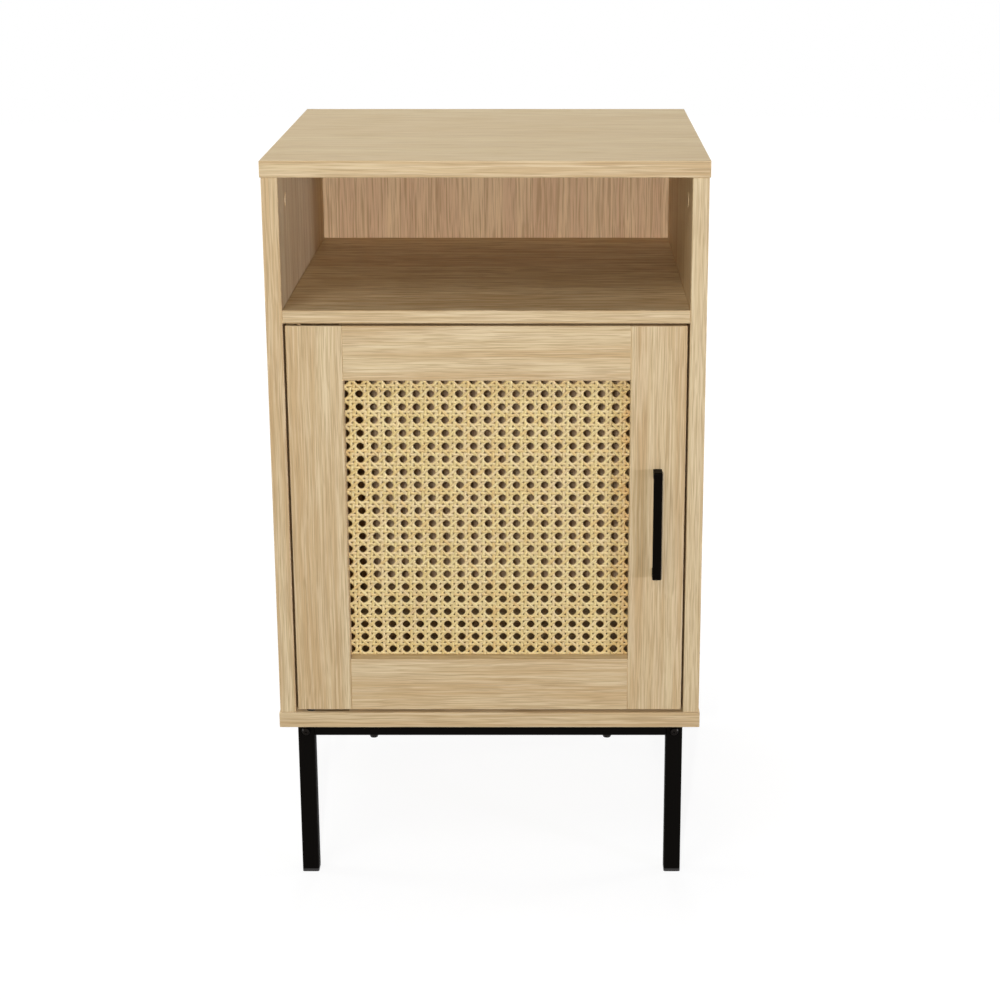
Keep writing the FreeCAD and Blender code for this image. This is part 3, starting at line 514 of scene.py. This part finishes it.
def weave_piece(name, strips, material):
    """One named piece made of many strips: (start, end, width, wave, sway) each."""
    bm = bmesh.new()
    tints = bm.verts.layers.float.new("strip_tint")
    for start, end, width, wave, sway in strips:
        lay_strip(bm, tints, start, end, width, wave, sway, chance.random())
    bmesh.ops.recalc_face_normals(bm, faces=bm.faces)
    for face in bm.faces:
        if face.normal.y > 0:
            face.normal_flip()
    bmesh.ops.solidify(bm, geom=bm.faces, thickness=STRIP_THICKNESS)
    bmesh.ops.recalc_face_normals(bm, faces=bm.faces)
    for face in bm.faces:
        face.smooth = True
    piece = mesh_object(name, bm, material)
    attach(piece, "door")
    print(name, "strips:", len(strips), "triangles:", triangles(piece))
    return piece


# %% [markdown]
# ### Rattan bark
#
# Cane strip is the glossy outer bark of rattan, split thin. It is straw-yellow, each strip a little different,
# greener or pinker, with fine fibre lines along its length and darker stains here and there. Towards the handle's side,
# in patches, the strips get a painted warm shade and reflected light from the stile beside them. The colour per strip
# comes from a number stored on its points, and the fibres from noise drawn out along the strip. The diagonals need the
# noise turned by 45 degrees first, which a Mapping node does. Real fibre lines are about 0.3 mm apart. They are drawn
# at 0.8 mm, so that they show.

# %% Rattan bark
FIBRE_UNIT = (24 * MM, 0.9 * MM, 0.9 * MM)  # one unit of the fibres' space, along and across the strip
FIBRE_WIDTH = 0.9  # of a fibre line, in those units
STAIN_SIZE = 16 * MM
WARM_SHADE_X = (0.106, 0.146)  # metres from the middle between which the painted warm shade and reflected light from the stile grows in
STRIP_TINTS = {  # a strip's colour by its number
    0.0: "ead08c", 0.35: "f0da9c", 0.6: "eed49e", 0.8: "e8ce8a", 1.0: "ebca88",
}


def rattan_bark(name, turn):
    """Glossy straw-coloured bark. turn is the strip's angle from level, in degrees."""
    material, tree, shader = new_finish(name)
    place = add(tree, "ShaderNodeTexCoord")
    turned = {"Vector": place.outputs["Object"], "Rotation": (0, math.radians(turn), 0)}
    turned = add(tree, "ShaderNodeMapping", turned).outputs["Vector"]
    space = {"Vector": turned, "Scale": [1 / size for size in FIBRE_UNIT]}
    space = add(tree, "ShaderNodeMapping", space).outputs["Vector"]
    fibres = tone(tree, space, FIBRE_WIDTH, low=0.42, high=0.70)
    clouds = {"Vector": place.outputs["Object"], "Scale": 1 / STAIN_SIZE, "Detail": 3.0}
    clouds = add(tree, "ShaderNodeTexNoise", clouds).outputs["Fac"]
    stains = add(tree, "ShaderNodeMapRange", {"Value": clouds, "From Min": 0.55, "From Max": 0.75}).outputs["Result"]
    patchy = add(tree, "ShaderNodeMapRange", {"Value": clouds, "From Min": 0.3, "From Max": 0.6}).outputs["Result"]
    sides = add(tree, "ShaderNodeSeparateXYZ", {"Vector": place.outputs["Object"]})
    # painted warm shade and reflected light from the right stile, growing towards it
    warm_shade = {"Value": sides.outputs["X"], "From Min": WARM_SHADE_X[0], "From Max": WARM_SHADE_X[1]}
    warm_shade = add(tree, "ShaderNodeMapRange", warm_shade, interpolation_type="SMOOTHSTEP").outputs["Result"]

    tint = add(tree, "ShaderNodeAttribute", attribute_name="strip_tint")
    ramp = add(tree, "ShaderNodeValToRGB", {"Fac": tint.outputs["Fac"]})
    stops = ramp.color_ramp.elements
    for position in list(STRIP_TINTS)[1:-1]:
        stops.new(position)
    for stop, tint_colour in zip(stops, STRIP_TINTS.values()):
        stop.color = linear(tint_colour)
    colour = paint_over(tree, ramp.outputs["Color"], linear("b98f52"), fibres, 0.42)
    colour = paint_over(tree, colour, linear("c99a55"), stains, 0.28)
    # the painted warm shade and reflected light from the stile, laid on in patches
    colour = paint_over(tree, colour, linear("dfa860"), warm_shade, patchy, 0.66)
    tree.links.new(colour, shader.inputs["Base Color"])
    skin = add(tree, "ShaderNodeBump", {"Height": fibres, "Strength": 0.2, "Distance": 0.05 * MM}, invert=True)
    tree.links.new(skin.outputs["Normal"], shader.inputs["Normal"])
    shader.inputs["Roughness"].default_value = 0.42
    return material


# %% Pairs of strips
PAIRS_ACROSS = (-10, 10)  # numbers of the holes, from the middle one of the lowest row
PAIRS_UP = (-1, 22)


def pair_places(first, last):
    """Middles of the pairs between two holes' numbers, with the side of each strip in its pair."""
    return [(number + 0.5, side) for number in range(first, last) for side in (-1, 1)]


def opening(run):
    """How far a strip strays from its twin: not at all in a crossing or midway, and most where it leaves one."""
    return PAIR_OPENING / 2 * ((1 - math.cos(4 * math.pi * run)) / 2) ** 2


def pair_motion(side, axis):
    """How a strip of a pair rises, and how it strays sideways, on its way along the axis: 0 is level, 1 upright."""

    def wave(place):
        return side * PAIR_WAVE * math.sin(2 * math.pi * pitches(place)[axis])

    def sway(place):
        return side * opening(pitches(place)[axis])

    return wave, sway


# %% Upright and level strips
strips = []
for number, side in pair_places(*PAIRS_ACROSS):
    x = number * CANE_PITCH_X + side * STRIP_WIDTH_UP / 2
    strips.append(((x, strip_z[0]), (x, strip_z[1]), STRIP_WIDTH_UP, *pair_motion(-side, 1)))
cane_upright = weave_piece("cane_strips_upright", strips, rattan_bark("rattan_bark_upright", 90))

strips = []
for number, side in pair_places(*PAIRS_UP):
    z = FIRST_HOLE_Z + number * CANE_PITCH_Z + side * STRIP_WIDTH_LEVEL / 2
    if strip_z[0] < z - STRIP_WIDTH_LEVEL < z + STRIP_WIDTH_LEVEL < strip_z[1]:
        strips.append(((strip_x[0], z), (strip_x[1], z), STRIP_WIDTH_LEVEL, *pair_motion(side, 0)))
cane_level = weave_piece("cane_strips_level", strips, rattan_bark("rattan_bark_level", 0))

# %% Diagonal strips
DIAGONALS = range(-12, 33)  # numbers of the pitches at which they pass the middle column of holes
SHORTEST_DIAGONAL = 0.5  # in pitches across


def diagonal_wave(slope):
    """A rising strip dips where a falling one rides over it, and the other way round."""
    return lambda place: -slope * DIAGONAL_WAVE * math.cos(2 * math.pi * pitches(place)[0])


def diagonal_strips(slope):
    """Strips that rise (slope 1) or fall (slope -1) to the right, halfway between the holes."""
    room = STRIP_WIDTH_DIAGONAL / 2
    left, right = (strip_x[0] + room) / CANE_PITCH_X, (strip_x[1] - room) / CANE_PITCH_X
    bottom = (strip_z[0] + room - FIRST_HOLE_Z) / CANE_PITCH_Z
    top = (strip_z[1] - room - FIRST_HOLE_Z) / CANE_PITCH_Z
    made = []
    for number in DIAGONALS:
        crossing = number + 0.5
        ends = sorted(((bottom - crossing) / slope, (top - crossing) / slope))
        reach = (max(left, ends[0]), min(right, ends[1]))
        if reach[1] - reach[0] < SHORTEST_DIAGONAL:
            continue
        start, end = [(x * CANE_PITCH_X, FIRST_HOLE_Z + (crossing + slope * x) * CANE_PITCH_Z) for x in reach]
        made.append((start, end, STRIP_WIDTH_DIAGONAL, diagonal_wave(slope), lambda place: 0.0))
    return made


cane_rising = weave_piece("cane_strips_rising", diagonal_strips(1), rattan_bark("rattan_bark_rising", 45))
cane_falling = weave_piece("cane_strips_falling", diagonal_strips(-1), rattan_bark("rattan_bark_falling", -45))
for piece in (cane_upright, cane_level, cane_rising, cane_falling):
    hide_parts("cane_panel")

# %% [markdown]
# ## Wood screws
#
# Each hinge leaf is held by two small countersunk screws, the catch by two and its strike plate by one. The head is
# a cone with a cross recess. The recess is cut into the head's flat: a plus-shaped outline is extruded inwards with
# a taper, and the flat between the plus and the rim is bridged, so the recess is real and stays closed.

# %% A countersunk screw
SCREW_HEAD = 2.65 * MM  # radius of the head's rim, just inside its seat
SCREW_NECK = 1.45 * MM
SCREW_SINK = 2.3 * MM  # depth of the cone
RECESS_ARM = 1.5 * MM  # from the middle to the end of an arm
RECESS_WIDTH = 0.35 * MM  # half the width of an arm
RECESS_DEPTH = 1.1 * MM
RECESS_TAPER = 0.55  # size of its floor as a share of its mouth
RIM_SEGMENTS = 24


def sink(bm, edges, share, depth):
    """Extrudes a closed line of edges down to the depth, narrowed to the share, and closes it. Gives the new points."""
    new = bmesh.ops.extrude_edge_only(bm, edges=edges)["geom"]
    verts = [item for item in new if isinstance(item, bmesh.types.BMVert)]
    for vert in verts:
        vert.co = (vert.co.x * share, vert.co.y * share, -depth)
    open_edges = [item for item in new if isinstance(item, bmesh.types.BMEdge) and len(item.link_faces) < 2]
    bmesh.ops.contextual_create(bm, geom=open_edges)
    return verts


def add_wood_screw(bm, place, outwards):
    """Countersunk cross-recess screw with its flat at the place, looking outwards."""
    rim = bmesh.ops.create_circle(bm, radius=SCREW_HEAD, segments=RIM_SEGMENTS, cap_ends=False)["verts"]
    rim_edges = list({edge for vert in rim for edge in vert.link_edges})
    arm, half = RECESS_ARM, RECESS_WIDTH
    quarter = [(arm, -half), (arm, half), (half, half)]
    plus = []
    for turn in range(4):
        spin = Matrix.Rotation(turn * math.pi / 2, 3, "Z")
        plus += [bm.verts.new(spin @ Vector((x, y, 0))) for x, y in quarter]
    plus_edges = [bm.edges.new((plus[i - 1], plus[i])) for i in range(len(plus))]
    bmesh.ops.bridge_loops(bm, edges=rim_edges + plus_edges)
    verts = rim + plus + sink(bm, plus_edges, RECESS_TAPER, RECESS_DEPTH)
    verts += sink(bm, rim_edges, SCREW_NECK / SCREW_HEAD, SCREW_SINK)
    matrix = Matrix.Translation(place) @ Vector(outwards).to_track_quat("Z", "Y").to_matrix().to_4x4()
    bmesh.ops.transform(bm, matrix=matrix, verts=verts)


def screw_piece(name, body, seats, material):
    """One named piece of equal screws, each at its seat: (place, outwards)."""
    bm = bmesh.new()
    for place, outwards in seats:
        add_wood_screw(bm, place, outwards)
    bmesh.ops.recalc_face_normals(bm, faces=bm.faces)
    piece = mesh_object(name, bm, material)
    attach(piece, body)
    print(name, "screws:", len(seats), "triangles:", triangles(piece))
    return piece


# %% Screws in their seats
LEAF_SCREWS_X = (-156 * MM, -142 * MM)  # the two screws of each leaf
CATCH_EAR = 3 * MM  # thickness of the ears of the catch's housing
CATCH_SCREW_OUT = 19 * MM  # from the catch's middle to its screws
FLUSH = 0.05 * MM  # a screw's flat lies this much below its seat's edge


def leaf_seats(node, outwards):
    """Seats of a hinge leaf's screws on its open face."""
    low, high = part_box(node)
    middle = frame["joints"][0]["pos_m"][1]
    face = high.z - FLUSH if outwards > 0 else low.z + FLUSH
    return [(Vector((x, middle, face)), (0, 0, outwards)) for x in LEAF_SCREWS_X]


housing_low, housing_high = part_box("catch_housing")
catch_x = (housing_low.x + housing_high.x) / 2
catch_y = (housing_low.y + housing_high.y) / 2
ear_z = housing_high.z - CATCH_EAR + FLUSH
catch_seats = [(Vector((catch_x + side * CATCH_SCREW_OUT, catch_y, ear_z)), (0, 0, -1)) for side in (-1, 1)]
strike_low, strike_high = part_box("strike_plate")
strike_seat = Vector((catch_x, strike_high.y - FLUSH, (strike_low.z + strike_high.z) / 2))

case_seats = leaf_seats("lower_case_leaf", 1) + leaf_seats("upper_case_leaf", -1)
door_seats = leaf_seats("lower_door_leaf", -1) + leaf_seats("upper_door_leaf", 1)
screw_piece("case_leaf_screws", "root", case_seats, leaf_steel)
screw_piece("door_leaf_screws", "door", door_seats, leaf_steel)
screw_piece("catch_screws", "root", catch_seats, zinc_plate)
screw_piece("strike_screw", "door", [(strike_seat, (0, 1, 0))], zinc_plate)

# %% [markdown]
# ## Floor
#
# A shop shows such furniture on plain white. The floor is a wide white sheet that still takes the object's shadow.
# Round the object the camera sees a blend of the lit floor and plain white, and further out only plain white, so the
# sheet has no visible edge. Light that bounces up to the object meets a greyer sheet, which keeps its underside dark.
# Light Path tells the two apart: it knows whether light reaches the lens straight, off a mirror or through glass.

# %% What the lens sees
def seen_by_lens(tree):
    """1 where the lens sees it straight, in a mirror or through glass, and 0 for the light it sheds on other things."""
    ray = add(tree, "ShaderNodeLightPath")
    seen = ray.outputs["Is Camera Ray"]
    for kind in ("Is Glossy Ray", "Is Transmission Ray"):
        seen = add(tree, "ShaderNodeMath", {0: seen, 1: ray.outputs[kind]}, operation="MAXIMUM").outputs[0]
    return seen


# %% White paper
SHADOW_RADIUS = 0.30  # within this of the middle, the floor's own light shows
FADE_RADIUS = 1.1  # from here on, only plain white
SHADOW_SHARE = 0.22  # how much of the lit floor the camera sees there
PLAIN_WHITE = 1.1  # a little over 1, so that no grey is left in it

floor_paper = bpy.data.materials.new("white_studio_paper")
tree = empty_tree(floor_paper)
place = add(tree, "ShaderNodeTexCoord")
reach = add(tree, "ShaderNodeVectorMath", {0: place.outputs["Object"]}, operation="LENGTH")
fade = {"Value": reach.outputs["Value"], "From Min": SHADOW_RADIUS, "From Max": FADE_RADIUS}
fade = add(tree, "ShaderNodeMapRange", {**fade, "To Min": 1 - SHADOW_SHARE, "To Max": 1.0})
seen = seen_by_lens(tree)
share = {0: seen, 1: fade.outputs["Result"]}
share = add(tree, "ShaderNodeMath", share, operation="MULTIPLY")
paper = paint_over(tree, linear("a8a8a6"), linear("fafaf9"), seen)
lit = add(tree, "ShaderNodeBsdfDiffuse", {"Color": paper})
white = add(tree, "ShaderNodeEmission", {"Color": (1, 1, 1, 1), "Strength": PLAIN_WHITE})
both = {"Fac": share.outputs[0], 1: lit.outputs["BSDF"], 2: white.outputs["Emission"]}
both = add(tree, "ShaderNodeMixShader", both)
add(tree, "ShaderNodeOutputMaterial", {"Surface": both.outputs["Shader"]})
print("paper shows the shadow within m:", SHADOW_RADIUS, "to", FADE_RADIUS)

# %% White floor
FLOOR_RADIUS = 6.0
FLOOR_SEGMENTS = 64
bm = bmesh.new()
bmesh.ops.create_circle(bm, cap_ends=True, radius=FLOOR_RADIUS, segments=FLOOR_SEGMENTS)
floor = mesh_object("white_floor", bm, floor_paper)
print("floor radius in m:", FLOOR_RADIUS)

# %% [markdown]
# ## Light
#
# Seven lamps and a dim surround. One no larger than a finger hangs beside the lens. It lights the fronts, reaches the
# back of the open shelf, and shines through each hole of the cane onto the back panel. It is so small that the left
# part of each hole stays sharp and dark, and it hangs one hole's pitch lower than the lens, so that its spots fall in
# line with the holes. A large soft box above the front adds to the fronts and stays out of the shelf. A low one, far
# to the right, throws the handle's soft shadow to the left. It hangs lower than the top, because from higher up it
# leaves a white sheen there in other views. One overhead evens out the top. Three fills, level with the body, light
# the back and the two sides, so that the object reads from all round. The surround is white for the eye and dim for
# the object.
#
# A lamp of P watts at distance d lights a surface that faces it so that a colour shows as written when P is about
# pi squared times d squared, so each lamp is given the share of that light which it is to add.

# %% Lamps
OBJECT_MIDDLE = (0, 0, 0.36)
WHITE = (1.0, 1.0, 1.0)
COOL = (0.88, 0.93, 1.22)  # so that the shadow it throws looks warm
LAMPS = {  # name: (place, (width, height), share of plain light, colour)
    "lens_side_strip": ((-0.044, -2.05, 0.898), (0.014, 0.045), 0.43, WHITE),
    "front_softbox": ((-0.8, -1.5, 2.2), (0.9, 0.9), 0.18, WHITE),
    "right_softbox": ((3.2, -2.45, 0.60), (0.6, 0.16), 0.28, COOL),
    "top_softbox": ((-0.1, 0.4, 2.4), (1.2, 1.2), 0.40, WHITE),
    "back_fill": ((0.0, 2.2, 0.36), (0.6, 0.6), 0.55, WHITE),
    "left_fill": ((-2.2, 0.3, 0.36), (0.6, 0.6), 0.50, WHITE),
    "right_fill": ((2.2, 0.6, 0.36), (0.6, 0.6), 0.45, WHITE),
}
for name, (place, size, share, colour) in LAMPS.items():
    light = bpy.data.lights.new(name, "AREA")
    lamp = new_object(name, light)
    way = Vector(OBJECT_MIDDLE) - Vector(place)
    lamp.location = place
    lamp.rotation_euler = way.to_track_quat("-Z", "Y").to_euler()
    light.shape = "RECTANGLE"
    light.size, light.size_y = size
    light.energy = share * math.pi ** 2 * way.length ** 2
    light.color = colour
    print(name, "watts:", round(light.energy, 1))

# %% Surround
SURROUND_LIGHT = 0.03  # what the object gets of it, where 1 is white
world = bpy.data.worlds.new("white_surround")
bpy.context.scene.world = world
tree = empty_tree(world)
level = {"Value": seen_by_lens(tree), "To Min": SURROUND_LIGHT, "To Max": 1.0}
level = add(tree, "ShaderNodeMapRange", level)
sky = add(tree, "ShaderNodeBackground", {"Color": (1, 1, 1, 1), "Strength": level.outputs["Result"]})
add(tree, "ShaderNodeOutputWorld", {"Surface": sky.outputs["Background"]})
print("surround on the object:", SURROUND_LIGHT)

# %% [markdown]
# ## Camera
#
# The camera stands two metres in front of the cabinet, above its top, and looks down at it through a long lens. A long
# lens from further away keeps the uprights nearly parallel, as in a catalogue. The small shift sets the cabinet in
# the middle of the frame without turning the camera.

# %% Camera
CAMERA_PLACE = (0.0562, -2.050, 0.962)
CAMERA_TILT = 16.09  # degrees below level
FOCAL_PIXELS = 2109  # focal length in pixels
FRAME_PIXELS = 1000  # of a frame that is this wide
SENSOR_WIDTH = 36  # mm
SHIFT = (-0.0486, -0.04)
camera_data = bpy.data.cameras.new("camera")
camera = new_object("camera", camera_data)
camera.location = CAMERA_PLACE
camera.rotation_euler = (math.radians(90 - CAMERA_TILT), 0, 0)
camera_data.sensor_width = SENSOR_WIDTH
camera_data.lens = FOCAL_PIXELS / FRAME_PIXELS * SENSOR_WIDTH
camera_data.shift_x, camera_data.shift_y = SHIFT
bpy.context.scene.camera = camera
bpy.context.scene.view_settings.view_transform = "Standard"
print("lens in mm:", round(camera_data.lens, 1))
